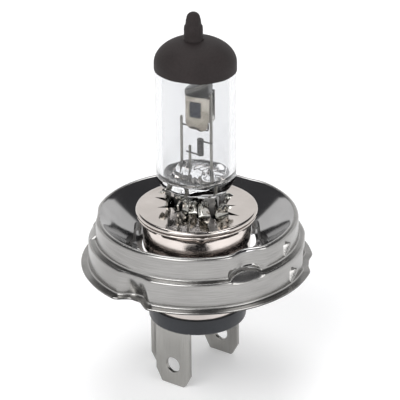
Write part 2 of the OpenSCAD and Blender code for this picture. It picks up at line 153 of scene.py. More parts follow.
def outward(piece, test):
    """Turns all faces round if the first face that the test finds looks the wrong way.
    The test returns a face's wanted direction, or None."""
    for face in piece.data.polygons:
        wanted = test(face.center)
        if wanted is not None:
            if face.normal.dot(wanted) < 0:
                edit(piece)
                bpy.ops.mesh.flip_normals()
                bpy.ops.object.mode_set(mode="OBJECT")
            return


def spun(points, steps):
    """A line of (radius, height) points, spun once round the axis and closed."""
    piece = outline([(r, 0, z) for r, z in points])
    edit(piece)
    bpy.ops.mesh.spin(steps=steps, angle=math.tau, center=(0, 0, 0), axis=(0, 0, 1))
    bpy.ops.mesh.select_all(action="SELECT")
    bpy.ops.mesh.remove_doubles(threshold=0.0005)
    bpy.ops.mesh.normals_make_consistent(inside=False)
    bpy.ops.object.mode_set(mode="OBJECT")
    return piece


def reshape(piece, rule):
    """Moves each vertex to where the rule puts it."""
    for vertex in piece.data.vertices:
        vertex.co = rule(vertex.co)
    piece.data.update()


def apply(piece, kind, **settings):
    activate(piece)
    modifier = piece.modifiers.new(kind.lower(), kind)
    for name, value in settings.items():
        setattr(modifier, name, value)
    bpy.ops.object.modifier_apply(modifier=modifier.name)


def joined(pieces):
    deselect()
    for piece in pieces:
        piece.select_set(True)
    bpy.context.view_layer.objects.active = pieces[0]
    bpy.ops.object.join()
    return bpy.context.object


def wire(points, radius, detail=4):
    """A round wire along the points."""
    piece = outline(points)
    activate(piece)
    bpy.ops.object.convert(target="CURVE")
    piece = bpy.context.object
    piece.data.bevel_depth = radius
    piece.data.bevel_resolution = detail
    piece.data.use_fill_caps = True
    bpy.ops.object.convert(target="MESH")
    piece = bpy.context.object
    edit(piece)
    bpy.ops.mesh.remove_doubles(threshold=0.0005)
    bpy.ops.mesh.normals_make_consistent(inside=False)
    bpy.ops.object.mode_set(mode="OBJECT")
    return piece


def copy_of(node):
    """A merged copy of a node's mesh, in millimetres, for a piece that only needs rounder edges."""
    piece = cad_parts[node].copy()
    piece.data = piece.data.copy()
    piece.parent = None
    for key in list(piece.keys()):
        del piece[key]
    bpy.context.scene.collection.objects.link(piece)
    piece.data.materials.clear()
    piece.data.transform(Matrix.Scale(1 / MM, 4))
    edit(piece)
    bpy.ops.mesh.remove_doubles(threshold=0.001)
    bpy.ops.mesh.tris_convert_to_quads()
    bpy.ops.object.mode_set(mode="OBJECT")
    return piece


def deliver(piece, name, slot, finish, *nodes, smooth=40):
    """Takes a piece to metres, shades it and puts it in the frame in the place of its nodes."""
    activate(piece)
    piece.name = name
    piece.data.transform(Matrix.Scale(MM, 4))
    if finish and not piece.data.materials:
        piece.data.materials.append(finish)
    bpy.ops.object.shade_smooth_by_angle(angle=math.radians(smooth))
    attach(piece, "root")
    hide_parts(*nodes)
    piece.data.calc_loop_triangles()
    print(name, "-", len(piece.data.loop_triangles), "triangles")
    return piece


def arc(centre, radius, start, end, steps):
    """Points of an arc in a plane, from angle start to angle end in degrees."""
    turns = [math.radians(start + (end - start) * i / steps) for i in range(steps + 1)]
    return [(centre[0] + radius * math.cos(t), centre[1] + radius * math.sin(t)) for t in turns]


def level(start, end, steps):
    """Evenly spaced values, both ends included."""
    return [start + (end - start) * i / steps for i in range(steps + 1)]


def ease(value):
    """0 below 0, 1 above 1, and a smooth S between them."""
    value = min(max(value, 0), 1)
    return value * value * (3 - 2 * value)


def hump(distance, half_width):
    """1 at the middle and 0 from half_width on, with soft ends."""
    if abs(distance) >= half_width:
        return 0
    return 0.5 + 0.5 * math.cos(math.pi * distance / half_width)


print("helpers ready")

# %% [markdown]
# ## Helpers for materials
# A material's maths is written as expressions. `Field` wraps one socket, and each operator adds the
# node that does the sum. `Finish` holds a material, and its one method adds every other kind of node.


# %% Shader expressions
class Field:
    """One socket of a node tree, which can be added, multiplied and mixed."""

    def __init__(self, book, socket):
        self.book = book
        self.socket = socket

    def maths(self, operation, first, second):
        return self.book.add("ShaderNodeMath", {0: first, 1: second}, operation=operation)

    def __add__(self, other):
        return self.maths("ADD", self, other)

    __radd__ = __add__

    def __sub__(self, other):
        return self.maths("SUBTRACT", self, other)

    def __rsub__(self, other):
        return self.maths("SUBTRACT", other, self)

    def __mul__(self, other):
        return self.maths("MULTIPLY", self, other)

    __rmul__ = __mul__

    def between(self, low, high):
        """0 at low, 1 at high, smooth between them."""
        return self.book.add("ShaderNodeMapRange", {"Value": self, "From Min": low, "From Max": high},
                             interpolation_type="SMOOTHSTEP")

    def blend(self, first, second):
        """The colour first where this is 0, and second where it is 1."""
        colours = {6: first if isinstance(first, Field) else (*first, 1),
                   7: second if isinstance(second, Field) else (*second, 1)}
        return self.book.add("ShaderNodeMix", {0: self, **colours}, output=2, data_type="RGBA")


class Finish:
    """A material with its shader, or the world with its background."""

    def __init__(self, owner, shader, **constants):
        owner.use_nodes = True
        self.owner = owner
        self.tree = owner.node_tree
        self.shader = self.tree.nodes[shader]
        for name, value in constants.items():
            self.shader.inputs[name.replace("_", " ")].default_value = value

    def add(self, kind, inputs, output=0, **settings):
        node = self.tree.nodes.new(kind)
        for name, value in settings.items():
            setattr(node, name, value)
        for name, value in inputs.items():
            self.feed(node.inputs[name], value)
        return Field(self, node.outputs[output])

    def feed(self, socket, value):
        if isinstance(value, Field):
            self.tree.links.new(value.socket, socket)
        else:
            socket.default_value = value

    def place(self, output=3):
        """Object coordinates: the piece's own place in metres."""
        return self.add("ShaderNodeTexCoord", {}, output=output)

    def stretched(self, scale):
        """Object coordinates, stretched by a scale along each axis."""
        return self.add("ShaderNodeMapping", {"Vector": self.place(), "Scale": scale})

    def axis(self, index):
        """One of the three object coordinates."""
        return self.add("ShaderNodeSeparateXYZ", {"Vector": self.place()}, output=index)

    def noise(self, scale, detail=3.0, rough=0.5):
        """Noise whose features are 1 / scale long along each axis."""
        return self.add("ShaderNodeTexNoise", {"Vector": self.stretched(scale), "Scale": 1.0,
                                               "Detail": detail, "Roughness": rough})

    def bump(self, height, distance, strength=1.0):
        normal = self.add("ShaderNodeBump", {"Height": height, "Distance": distance, "Strength": strength})
        self.feed(self.shader.inputs["Normal"], normal)

    def colour(self, value):
        self.feed(self.shader.inputs["Base Color"], value)

    def roughness(self, value):
        self.feed(self.shader.inputs["Roughness"], value)


def material(name, **constants):
    return Finish(bpy.data.materials.new(name), "Principled BSDF", **constants)


print("shader helpers ready")

# %% [markdown]
# Metal is a full metallic shader. Its colour comes from the plating, and its look from how it was
# worked: the walls of the collar were brushed in a lathe, so fine scratches run round them, while the
# bowl was polished and only shows faint cloudy streaks.


# %% Metals
def metal(name, dark, light, rough, grain, lines, depth, spread=0.12):
    """A metal with scratches along its grain: dark and light are the ends of its colour range."""
    finish = material(name, Metallic=1.0)
    scratches = finish.noise(grain, detail=4.0, rough=0.65)
    clouds = finish.noise((90, 90, 90), detail=2.0)
    tone = (scratches * lines + clouds * (1 - lines)).between(0.3, 0.7)
    finish.colour(tone.blend(dark, light))
    finish.roughness(rough + spread * (scratches - 0.5))
    finish.bump(scratches, depth)
    return finish.owner


BRUSHED = metal("brushed_steel", (0.28, 0.274, 0.266), (0.39, 0.384, 0.374), 0.24, (190, 190, 7000), 0.7,
                0.000005)
POLISHED = metal("polished_steel", (0.34, 0.336, 0.336), (0.41, 0.406, 0.406), 0.1, (260, 260, 400), 0.3,
                 0.000002, 0.06)
NICKEL = metal("warm_nickel", (0.52, 0.478, 0.448), (0.62, 0.572, 0.54), 0.08, (300, 300, 900), 0.3,
               0.000002, 0.05)
WIRE = metal("molybdenum_wire", (0.2, 0.19, 0.17), (0.32, 0.31, 0.28), 0.3, (3000, 3000, 500), 0.6, 0.000004)
FOIL = metal("molybdenum_foil", (0.5, 0.5, 0.5), (0.66, 0.66, 0.66), 0.3, (2500, 400, 300), 0.6, 0.000003)
TUNGSTEN = metal("wound_tungsten", (0.08, 0.08, 0.08), (0.2, 0.19, 0.18), 0.4, (3000, 3000, 3000), 0.6,
                 0.000004)
FINGER = metal("bent_nickel", (0.3, 0.295, 0.27), (0.5, 0.49, 0.46), 0.14, (500, 500, 500), 0.5,
               0.000004, 0.06)
# The holding strips' steel is painted darker than the collar: painted shade.
SHADED_STRIP = metal("shade_darkened_steel", (0.1, 0.1, 0.1), (0.2, 0.195, 0.19), 0.3, (800, 800, 3000), 0.6, 0.000005)
BLADE = metal("blade_steel", (0.3, 0.295, 0.28), (0.37, 0.363, 0.347), 0.24, (3400, 3400, 160), 0.5, 0.000003)
WELD = metal("weld_metal", (0.42, 0.41, 0.4), (0.6, 0.59, 0.57), 0.35, (1500, 1500, 1500), 0.6, 0.00001)
print("metals ready")

# %% [markdown]
# The coating is a dipped, fired-on paint: matt, brown-black, a little uneven. The insulator is moulded
# plastic with a satin, blue-black skin and fine pores.


# %% Coating and insulator
def paint(name, dark, light, rough, grain, depth, **constants):
    finish = material(name, **constants)
    specks = finish.noise(grain, detail=5.0, rough=0.6)
    clouds = finish.noise((160, 160, 110), detail=2.0)
    finish.colour((0.4 * specks + 0.6 * clouds).between(0.3, 0.7).blend(dark, light))
    finish.roughness(rough + 0.2 * (clouds - 0.5))
    finish.bump(specks, depth)
    return finish.owner


COATING = paint("brown_black_coating", (0.016, 0.012, 0.012), (0.026, 0.02, 0.02), 0.65,
                (2600, 2600, 2600), 0.00002, Specular_IOR_Level=0.25)
PLASTIC = paint("blue_black_plastic", (0.007, 0.009, 0.013), (0.013, 0.016, 0.022), 0.4,
                (3500, 3500, 3500), 0.00001)
print("paints ready")

# %% [markdown]
# Quartz glass is clear, with a real thickness, so light bends in its walls and in the thick pressed
# foot. The walls' slight waviness comes from the flame that shaped them.

# %% Glass
glass = material("quartz_glass", Roughness=0.0, IOR=1.46, Transmission_Weight=1.0, Specular_IOR_Level=0.06)
waves = glass.noise((120, 120, 60), detail=1.0)
glass.colour(waves.between(0.3, 0.7).blend((0.83, 0.835, 0.845), (0.86, 0.865, 0.87)))
glass.bump(waves, 0.00004, 0.3)
GLASS = glass.owner
print("glass ready")

# %% [markdown]
# ## Collar
# The collar is one pressing: flange, two walls with a ledge between them, a rolled rim and the bowl.
# Its outline is spun in half-degree steps, so that the dents can be pressed into a fine, even mesh.

# %% Collar outline
collar_low, collar_high = corners("prefocus_collar")
FLANGE_R = collar_high.x
RIM_H = 9.8
PILOT_R = FLANGE_R - 1.5
STEP_R = FLANGE_R - 2.9
LEDGE_H = 5.2
HOLE_R = 10.6
HOLE_H = 3.4
SHEET_T = -collar_low.z
SHOULDER = 0.6
RIM_ROUND = 0.7
SLIT_H = 2.5
SLITS = (1.75, 6.9)
MARK = 3

slope = math.atan2(RIM_H - RIM_ROUND - HOLE_H, STEP_R - RIM_ROUND - HOLE_R)
low_slit = [SLITS[0] - SLIT_H / 2, SLITS[0] + SLIT_H / 2]
high_slit = [SLITS[1] - SLIT_H / 2, SLITS[1] + SLIT_H / 2]
wall = [(PILOT_R, z) for z in [*level(*low_slit, 8), *level(3.3, 4.5, 4)]]
shoulder = arc((PILOT_R - SHOULDER, LEDGE_H - SHOULDER), SHOULDER, 0, 90, 6)
ledge = arc((STEP_R + 0.4, LEDGE_H + 0.4), 0.4, -90, -180, 5)
upper = [(STEP_R, z) for z in [*level(*high_slit, 8), 8.6]]
rim = arc((STEP_R - RIM_ROUND, RIM_H - RIM_ROUND), RIM_ROUND, 0, 90 + math.degrees(slope), 9)
rim_end = rim[-1]
bowl = [(rim_end[0] + (HOLE_R - rim_end[0]) * t, rim_end[1] + (HOLE_H - rim_end[1]) * t)
        for t in level(1 / 12, 1, 11)]
flange = [(FLANGE_R, -0.12), (FLANGE_R - 0.08, -0.02), (FLANGE_R - 0.2, 0),
          *arc((PILOT_R + 0.42, 0.42), 0.42, -90, -180, 5)]
collar = spun([*flange, *wall, *shoulder, *ledge, *upper, *rim, *bowl], 720)
outward(collar, lambda c: Vector((c.x, c.y, 0)) if 1.5 < c.z < 3 and c.xy.length > 20 else None)
print("collar:", len(collar.data.polygons), "faces")

# %% [markdown]
# Three punches dented the flange's edge and three dented the ledge, between them. A flange dent fades
# out up the lower wall. A ledge dent pushes an arch of the ledge in and up, and takes the rim along. The
# two orientation marks are slits with a small pressed half-diamond at their right. At the first of the
# strips that hold the cap, the bowl's hole opens into a wider slot.

# %% Press the dents
FLANGE_DENTS = {-90: 2.1, 30: 0.8, 150: 1.9}   # angle and depth
LEDGE_DENTS = {-27: 1.2, 90: 0.5, -150: 0.4}   # angle, and how far the rim went in with the ledge
STRIPS = (38, 126, -146)
PUNCH_R = 3.5
PUNCH_DEPTH = 1.8
PUNCH_LIFT = 0.8


def around(place, angle):
    """Distance round the collar from the direction of angle, in millimetres."""
    turn = (math.degrees(math.atan2(place.y, place.x)) - angle + 180) % 360 - 180
    return math.radians(turn) * place.xy.length


def punched(side, height):
    """Share of the full depth that a ledge punch reaches: an arch that fades above and below the ledge."""
    arch = max(1 - (side / PUNCH_R) ** 2, 0) ** 0.7
    return arch * (1 - ease(abs(height - LEDGE_H) / (2.2 if height > LEDGE_H else 0.75)))


def dent_depth(place):
    """How far in the presses move a point of the collar."""
    radius, height = place.xy.length, place.z
    depth = 0
    if radius > STEP_R + 0.02 and height < LEDGE_H + 0.5:
        fade = (1 - 0.75 * ease(height / 5)) * ease((radius - STEP_R) / (PILOT_R - STEP_R - 0.1))
        for angle, press in FLANGE_DENTS.items():
            depth += press * fade * (1 - ease((abs(around(place, angle)) - 0.8) / 3.4))
    for angle, rim_depth in LEDGE_DENTS.items():
        side = around(place, angle)
        if abs(side) < 6 and height > 3 and radius > 15:
            rim = rim_depth * hump(side - 1, 4.6) * ease((radius - 15) / (STEP_R - RIM_ROUND - 15))
            rim *= ease((height - LEDGE_H) / 1.5)
            bite = PUNCH_DEPTH * punched(side, height) if radius > STEP_R - 0.01 else 0
            depth += max(rim, bite)
    for low, high in (low_slit, high_slit):
        side = around(place, MARK) - 0.3
        lift = abs(height - (low + high) / 2 - 0.25)
        if radius > STEP_R - 0.2 and -0.02 < side < 2.9 and lift < 1.75:
            depth += 1.9 * max(1 - side / 2.8 - lift / 1.7, 0)
    return depth


def pressed(place):
    radius = place.xy.length
    if radius < 0.1:
        return place
    shift = -dent_depth(place)
    if radius > STEP_R - 0.01 and place.z > 3:
        lift = sum(punched(around(place, angle), place.z) for angle in LEDGE_DENTS)
        place = place + Vector((0, 0, PUNCH_LIFT * lift))
    if radius < HOLE_R + 2.2:
        open_slot = 1 - ease((abs(around(place, STRIPS[0])) - 2.4) / 0.8)
        shift += 0.8 * open_slot * (HOLE_R + 2.2 - radius) / 2.2
        place = Vector((place.x, place.y, place.z + 0.57 * open_slot * (HOLE_R + 2.2 - radius) / 2.2))
    return Vector((place.x * (radius + shift) / radius, place.y * (radius + shift) / radius, place.z))


reshape(collar, pressed)


def in_slit(centre, normal):
    on_wall = any(low < centre.z < high for low, high in (low_slit, high_slit))
    return on_wall and centre.xy.length > 18.5 and abs(around(centre, MARK)) < 0.42


pick_faces(collar, in_slit)
bpy.ops.mesh.delete(type="FACE")
bpy.ops.object.mode_set(mode="OBJECT")
print("collar pressed")

# %% [markdown]
# Three tongues were cut out of the bowl's floor and bent up, and they are welded to the cup. Each is a
# flat strip that leaves the bowl, arches over and comes down to touch the cup.

# %% Holding strips
STRIP_FOOT = 12.3
STRIP_W = 3.0
CUP_R = 10.4


def holding_strip(angle):
    foot_z = HOLE_H + (STRIP_FOOT - HOLE_R) * math.tan(slope)
    crown = arc((CUP_R + 1.0, 6.5), 0.75, 0, 150, 8)
    side = [(STRIP_FOOT, foot_z - 0.3), (STRIP_FOOT - 0.05, foot_z + 0.5), *crown, (CUP_R + 0.32, 5.9)]
    strip = outline([(x, -STRIP_W / 2, z) for x, z in side])
    edit(strip)
    for _ in range(6):
        bpy.ops.mesh.extrude_region_move(TRANSFORM_OT_translate={"value": (0, STRIP_W / 6, 0)})
    bpy.ops.object.mode_set(mode="OBJECT")
    outward(strip, lambda c: Vector((0, 0, 1)) if c.z > 6.9 else None)
    turn = Matrix.Rotation(math.radians(angle), 4, "Z")
    strip.data.transform(turn)
    return strip


strips = [holding_strip(a) for a in STRIPS]
collar.data.materials.append(BRUSHED)
collar.data.materials.append(POLISHED)
for face in collar.data.polygons:
    face.material_index = int(face.center.xy.length < STEP_R - RIM_ROUND - 0.2 and face.normal.z > 0.3)
collar.data.materials.append(SHADED_STRIP)
for strip in strips:
    for finish in (BRUSHED, POLISHED, SHADED_STRIP):
        strip.data.materials.append(finish)
    for face in strip.data.polygons:
        face.material_index = 2
collar = joined([collar, *strips])
apply(collar, "SOLIDIFY", thickness=SHEET_T - 0.02, offset=-1)
deliver(collar, "collar_pressing", "brushed_steel", None, "prefocus_collar", smooth=32)

# %% [markdown]
# ## Cap and pinch holder
# The cap is a drawn cup that narrows to a sleeve under the collar. Its top edge is turned out to a small
# bead. Two weld dimples and one raised weld mark sit under the bead. The holder is a disc with a rolled
# edge that lies on the bead.

# %% Cap
CUP_H = 10.3
SLEEVE_R = 9.1
SLEEVE_DEPTH = 8.8
CAP_T = 0.38
bead = arc((11.35, 9.98), 0.24, -110, 100, 8)
cup = [(CUP_R + 0.42, CUP_H - 0.04), *bead[::-1], (CUP_R + 0.55, 9.6), (CUP_R + 0.18, 9.42), (CUP_R, 9.05)]
cup += [(CUP_R + 0.03, z) for z in (8.4, 7.4, 6.4, 5.2, 4.2)]
cup += arc((CUP_R - 0.8, 3.6), 0.8, 0, -38, 4)
cup += arc((SLEEVE_R + 0.6, 1.1), 0.6, 142, 180, 4)
cup += [(SLEEVE_R, z) for z in level(0, -SLEEVE_DEPTH, 6)]
cap = spun(cup, 256)
outward(cap, lambda c: Vector((c.x, c.y, 0)) if 5 < c.z < 8 else None)

DIMPLES = (-97.5, -2.5)
WELD_MARK = -49.5


def with_welds(place):
    """Round weld dimples under the bead, and one raised weld mark between them."""
    radius = place.xy.length
    shift = 0
    for angle in DIMPLES:
        away = math.hypot(around(place, angle), (place.z - 9.35) * 1.4)
        if away < 1.0 and radius > 10:
            shift -= 0.35 * hump(away, 0.95)
    away = math.hypot(around(place, WELD_MARK) / 1.3, place.z - 9.55)
    if away < 1.2 and radius > 10:
        shift += 0.22 * hump(away, 1.1)
    return Vector((place.x * (1 + shift / radius), place.y * (1 + shift / radius), place.z))


reshape(cap, with_welds)
apply(cap, "SOLIDIFY", thickness=CAP_T, offset=-1)
deliver(cap, "nickel_cap", "nickel_plate", NICKEL, "cap_shell", smooth=35)

# %% [markdown]
# The disc has a star-shaped opening. A press tool pierced it and pushed the material between the star's
# points up against the glass, as twelve fingers that hold the pinch. The disc's flat top is a face with
# the star as its inner edge, filled out to the rolled rim.

# %% Pinch holder
HOLDER_R = corners("pinch_holder")[1].x
HOLDER_H = 11.3
STAR_TURN = 8
TIPS = (9.2, 7.6, 5.6, 5.2, 5.6, 7.6)
ROOTS = (0.5, 1.5, 1.1, 1.1, 1.5, 0.5)
PINCH_W, PINCH_T = 12, 4
DISC_T = 0.36


def pinch_reach(angle):
    """Distance from the axis to the pinch in a direction, in degrees."""
    c, s = abs(math.cos(math.radians(angle))), abs(math.sin(math.radians(angle)))
    return min(PINCH_W / 2 / max(c, 0.01), PINCH_T / 2 / max(s, 0.01))


def flat(radius, angle):
    return Vector((radius * math.cos(math.radians(angle)), radius * math.sin(math.radians(angle)), 0))


roll = arc((HOLDER_R - 0.5, HOLDER_H - 0.5), 0.5, -75, 84, 10)
disc_edge = [(HOLDER_R - 0.9, HOLDER_H - 0.98), *roll, (HOLDER_R - 0.7, HOLDER_H - 0.01),
             (HOLDER_R - 1.2, HOLDER_H - 0.03), (HOLDER_R - 1.7, HOLDER_H - 0.05)]
disc = spun(disc_edge, 192)
outward(disc, lambda c: Vector((c.x, c.y, 0)) if c.xy.length > HOLDER_R - 0.05 else None)

star = []
for k in range(12):
    tip = STAR_TURN + 30 * k
    root = pinch_reach(tip + 15) + ROOTS[k % 6]
    star += [flat(TIPS[k % 6], tip), flat(root / math.cos(math.radians(7.5)), tip + 7.5),
             flat(root / math.cos(math.radians(7.5)), tip + 22.5)]
star = [point + Vector((0, 0, HOLDER_H - 0.05)) for point in star]
opening = outline([*star, star[0]])
edit(opening)
bpy.ops.mesh.remove_doubles(threshold=0.0005)
bpy.ops.object.mode_set(mode="OBJECT")
disc = joined([disc, opening])
edit(disc, "EDGE")
bpy.ops.mesh.select_all(action="DESELECT")
mesh = bmesh.from_edit_mesh(disc.data)
for edge in mesh.edges:
    middle = (edge.verts[0].co + edge.verts[1].co) / 2
    inner_edge = edge.is_boundary and middle.xy.length < HOLDER_R - 1.5
    edge.select = edge.is_wire or (inner_edge and middle.z > HOLDER_H - 0.08)
bmesh.update_edit_mesh(disc.data)
bpy.ops.mesh.fill(use_beauty=False)
bpy.ops.mesh.select_all(action="SELECT")
bpy.ops.mesh.normals_make_consistent(inside=False)
bpy.ops.object.mode_set(mode="OBJECT")
outward(disc, lambda c: Vector((0, 0, 1)) if c.z > HOLDER_H - 0.06 and c.xy.length < 10 else None)
apply(disc, "SOLIDIFY", thickness=DISC_T, offset=-1)
print("disc:", len(disc.data.polygons), "faces")

# %% [markdown]
# A finger starts flat in the disc, bends up in a small curve and leans on the glass, where it curls over
# a little. No two came out alike, so each has its own length, curl and twist.

# %% Fingers
LENGTHS = (3.3, 2.8, 2.4, 2.9, 2.3, 3.1, 2.8, 3.2, 2.5, 2.7, 3.0, 2.5)
CURLS = (1.6, 2.3, 1.3, 2.1, 2.5, 1.5, 2.2, 1.4, 1.9, 2.6, 2.4, 1.8)
FINGER_T = 0.34
TWISTS = (14, -24, 28, -15, 22, -30, 12, 25, -20, -27, 16, 24)


def finger(k):
    angle = STAR_TURN + 30 * k + 15
    root = pinch_reach(angle) + ROOTS[k % 6]
    half = root * math.tan(math.radians(12.5)) + 0.1
    gap = ROOTS[k % 6]
    rise = [(root + 0.7, 0), (root + 0.3, 0.08), (root - 0.02, 0.4), (root - 0.15, 0.9)]
    rise += [(root - 0.15 - (gap - 0.5) * t, 0.9 + LENGTHS[k] * 0.5 * t) for t in (0.35, 0.7, 1.0)]
    last = rise[-1]
    rise += [(last[0] + 0.3 * CURLS[k], last[1] + 0.25), (last[0] + 0.6 * CURLS[k], last[1] - 0.15)]
    strip = outline([(x, -half, z) for x, z in rise])
    edit(strip)
    for _ in range(4):
        bpy.ops.mesh.extrude_region_move(TRANSFORM_OT_translate={"value": (0, half / 2, 0)})
    bpy.ops.object.mode_set(mode="OBJECT")
    outward(strip, lambda c: Vector((1, 0, 0)) if 0.4 < c.z < 1 else None)
    twist = math.radians(TWISTS[k])

    def bent(place):
        share = ease(place.z / 2)
        taper = 1 - 0.35 * share
        y = place.y * taper
        cup = 0.45 * share * (place.y / half) ** 2
        crease = 0.2 * share * math.sin(3.2 * place.z + 2.1 * k + 2.4 * place.y)
        lift = 0.35 * share * math.sin(1.9 * k + 2.6 * place.y)
        return Vector((place.x + cup + crease + y * math.sin(twist) * share,
                       y * math.cos(twist * share), place.z + lift))

    reshape(strip, bent)
    apply(strip, "SUBSURF", levels=2, render_levels=2)
    apply(strip, "SOLIDIFY", thickness=FINGER_T, offset=-1)
    turn = Matrix.Rotation(math.radians(angle), 4, "Z")
    strip.data.transform(Matrix.Translation((0, 0, HOLDER_H - 0.07)) @ turn)
    return strip


fingers = [finger(k) for k in range(12)]
for piece, finish in [(disc, NICKEL), *[(strip, FINGER) for strip in fingers]]:
    piece.data.materials.append(finish)
holder = joined([disc, *fingers])
deliver(holder, "pinch_holder_disc", "nickel_plate", None, "pinch_holder", smooth=30)

# %% [markdown]
# ## Glass envelope
# The envelope is one piece of quartz: a tube that was pressed flat at its foot round the foils, a dome,
# and the stub where the gas was filled in and the tube was melted shut. It is spun as a round body, and
# its foot is then squeezed from a circle to a flat bar with round corners.

# %% Outer skin
glass_low, glass_high = corners("glass_envelope")
GLASS_R = 7.7
DOME_H = 4.65
DOME_FOOT = 46.0 - DOME_H
PINCH_FOOT = glass_low.z
TIP_TOP = glass_high.z
TIP_SHIFT = Vector((-0.25, -0.17, 0))


def dome(grow, steps=16):
    """The dome's outline from the tube's end to just beside the exhaust tip."""
    turns = [math.radians(76 * i / steps) for i in range(steps + 1)]
    return [((GLASS_R + grow) * math.cos(t), DOME_FOOT + (DOME_H + grow) * math.sin(t)) for t in turns]


def exhaust_tip(grow):
    """The sealed stub: a fillet on the dome, a thick lower part, a shoulder and a round end."""
    top = TIP_TOP + grow
    lower = [(1.84, 46.05), (1.72, 46.4), (1.68, 47.1), (1.68, 48.0), (1.64, 48.55), (1.48, 48.85)]
    upper = [(1.36, 49.1), (1.33, 49.5), (1.29, 49.9)]
    end = arc((0, top - 1.22), 1.22, 0, 78, 6)
    return [(r + grow, z) for r, z in [*lower, *upper]] + [(r + grow * 0.7, z) for r, z in end] + [(0, top)]


def tip_leaned(place):
    share = ease((place.z - 44.9) / 1.4) if place.xy.length < 4 else 0
    return place + TIP_SHIFT * share


foot = [(0, PINCH_FOOT), (3, PINCH_FOOT), (5.2, PINCH_FOOT + 0.02), (5.85, PINCH_FOOT + 0.25),
        (6, PINCH_FOOT + 0.8)]
press = [(6, z) for z in (8, 10, 12, 13.2, 14.2, 15.0)]
belly = [(6.1, 15.5), (6.4, 15.9), (6.85, 16.4), (7.2, 16.95), (7.45, 17.5), (7.62, 18.2), (7.69, 19.0)]
tube = [(GLASS_R, z) for z in level(20.3, 40, 12)]
skin = spun([*foot, *press, *belly, *tube, *dome(0), *exhaust_tip(0)], 160)


def squeezed(place):
    """Below the belly the round body becomes a flat bar."""
    share = 1 - ease((place.z - 14.5) / 2.2)
    place = tip_leaned(place)
    if place.z > 20 or place.xy.length < 0.01:
        return place
    angle = math.atan2(place.y, place.x)
    lump = hump(place.z - 16.2, 2.4) * (0.1 * math.sin(5 * angle + 2 * place.z)
                                        + 0.06 * math.sin(11 * angle - 3 * place.z))
    part = place.xy.length / 6
    bar = (abs(math.cos(angle) / (PINCH_W / 2)) ** 7 + abs(math.sin(angle) / (PINCH_T / 2)) ** 7) ** (-1 / 7)
    radius = place.xy.length * (1 - share) + min(part, 1) * bar * share + lump
    return Vector((radius * math.cos(angle), radius * math.sin(angle), place.z))


reshape(skin, squeezed)
outward(skin, lambda c: Vector((c.x, c.y, 0)) if 25 < c.z < 35 else None)

# %% [markdown]
# The inside is a second closed surface that faces inwards. Its floor is not flat: the press pushed soft
# glass up round the wires in a lumpy ridge, with a small cone of glass at each wire.

# %% Inner skin and ridge
WALL_T = 1.25
INNER_FLOOR = 17.9
WIRES = {"shield": 3.45, "dipped": -3.45, "main": -1.45}
inner_r = GLASS_R - WALL_T
inner_dome = [(r * inner_r / GLASS_R, DOME_FOOT + (z - DOME_FOOT) * (DOME_H - WALL_T) / DOME_H)
              for r, z in dome(0)]
floor_line = [(r, INNER_FLOOR) for r in level(0, 4.9, 40)]
inner_foot = arc((4.9, 19.45), 1.55, -90, 0, 10)
hollow = spun([*floor_line, *inner_foot[1:], *[(inner_r, z) for z in level(21, 40.9, 10)], *inner_dome,
               (1.0, DOME_FOOT + DOME_H - WALL_T), (0, DOME_FOOT + DOME_H - WALL_T)], 144)


def ridged(place):
    if place.z > 21 or place.xy.length > 6.2:
        return place
    along = 1 - ease((abs(place.x + 0.2) - 3.6) / 1.7)
    across = math.exp(-(place.y / 1.35) ** 2)
    swell = 1.35 * along * across * (1 + 0.25 * math.sin(2.3 * place.x + 0.8))
    for wire_name, height, width in (("shield", 0.9, 0.8), ("dipped", 1.5, 0.85), ("main", 1.3, 0.75)):
        x = WIRES[wire_name]
        swell += height * math.exp(-(((place.x - x) ** 2 + place.y ** 2) / width ** 2))
    dimple = -0.5 * math.exp(-((abs(place.y) - 2.6) / 0.8) ** 2) * along
    ripple = 0.09 * math.sin(7 * math.hypot(place.x - 3, place.y)) * ease(place.xy.length / 2)
    edge = 1 - ease((place.xy.length - 4.4) / 1.6)
    return place + Vector((0, 0, (swell + dimple + ripple) * edge))


reshape(hollow, ridged)
outward(hollow, lambda c: Vector((-c.x, -c.y, 0)) if 25 < c.z < 35 else None)
envelope = joined([skin, hollow])
deliver(envelope, "quartz_envelope", "quartz_glass", GLASS, "glass_envelope", smooth=50)

# %% [markdown]
# ## Coating
# The coating was dipped on, so its lower edge runs almost level and waves a little. It is a thin shell
# with an inner face a hair off the glass.

# %% Anti-glare coating
COAT_T = 0.12
COAT_GAP = 0.015
COAT_FOOT = 39.5
COAT_BEND = 40.6
outer_coat = [(GLASS_R + COAT_T * 0.6, COAT_FOOT), (GLASS_R + COAT_T, COAT_FOOT + 0.12),
              (GLASS_R + COAT_T, COAT_BEND), *dome(COAT_T), *exhaust_tip(COAT_T)]
inner_coat = [(GLASS_R + COAT_GAP, COAT_FOOT), (GLASS_R + COAT_GAP, COAT_BEND),
              *dome(COAT_GAP), *exhaust_tip(COAT_GAP)]
coat = spun([*outer_coat[::-1], *inner_coat], 160)


def dipped_edge(place):
    low = 1 - ease((place.z - 39.7) / 0.9)
    angle = math.atan2(place.y, place.x)
    wave = 0.3 * math.sin(angle + 3.4) + 0.05 * math.sin(4 * angle + 1) + 0.03 * math.sin(9 * angle)
    return tip_leaned(place) + Vector((0, 0, (0.45 + wave) * low))


reshape(coat, dipped_edge)
outward(coat, lambda c: Vector((c.x, c.y, 0)) if c.xy.length > GLASS_R + 0.1 and c.z < 41.5 else None)
deliver(coat, "dipped_coating", "black_coating", COATING, "anti_glare_coating", smooth=60)

# %% [markdown]
# ## Filaments
# Each coil is a true helix of tungsten wire. The Screw modifier turns a small circle up the axis, once
# for each turn. Its two legs run out to the wires that hold it and carry the current.

# %% Coils
COIL_X = 1.0
COIL_R = 0.65
COIL_WIRE = 0.15
LEG_R = 0.16
SIDE = 0.47


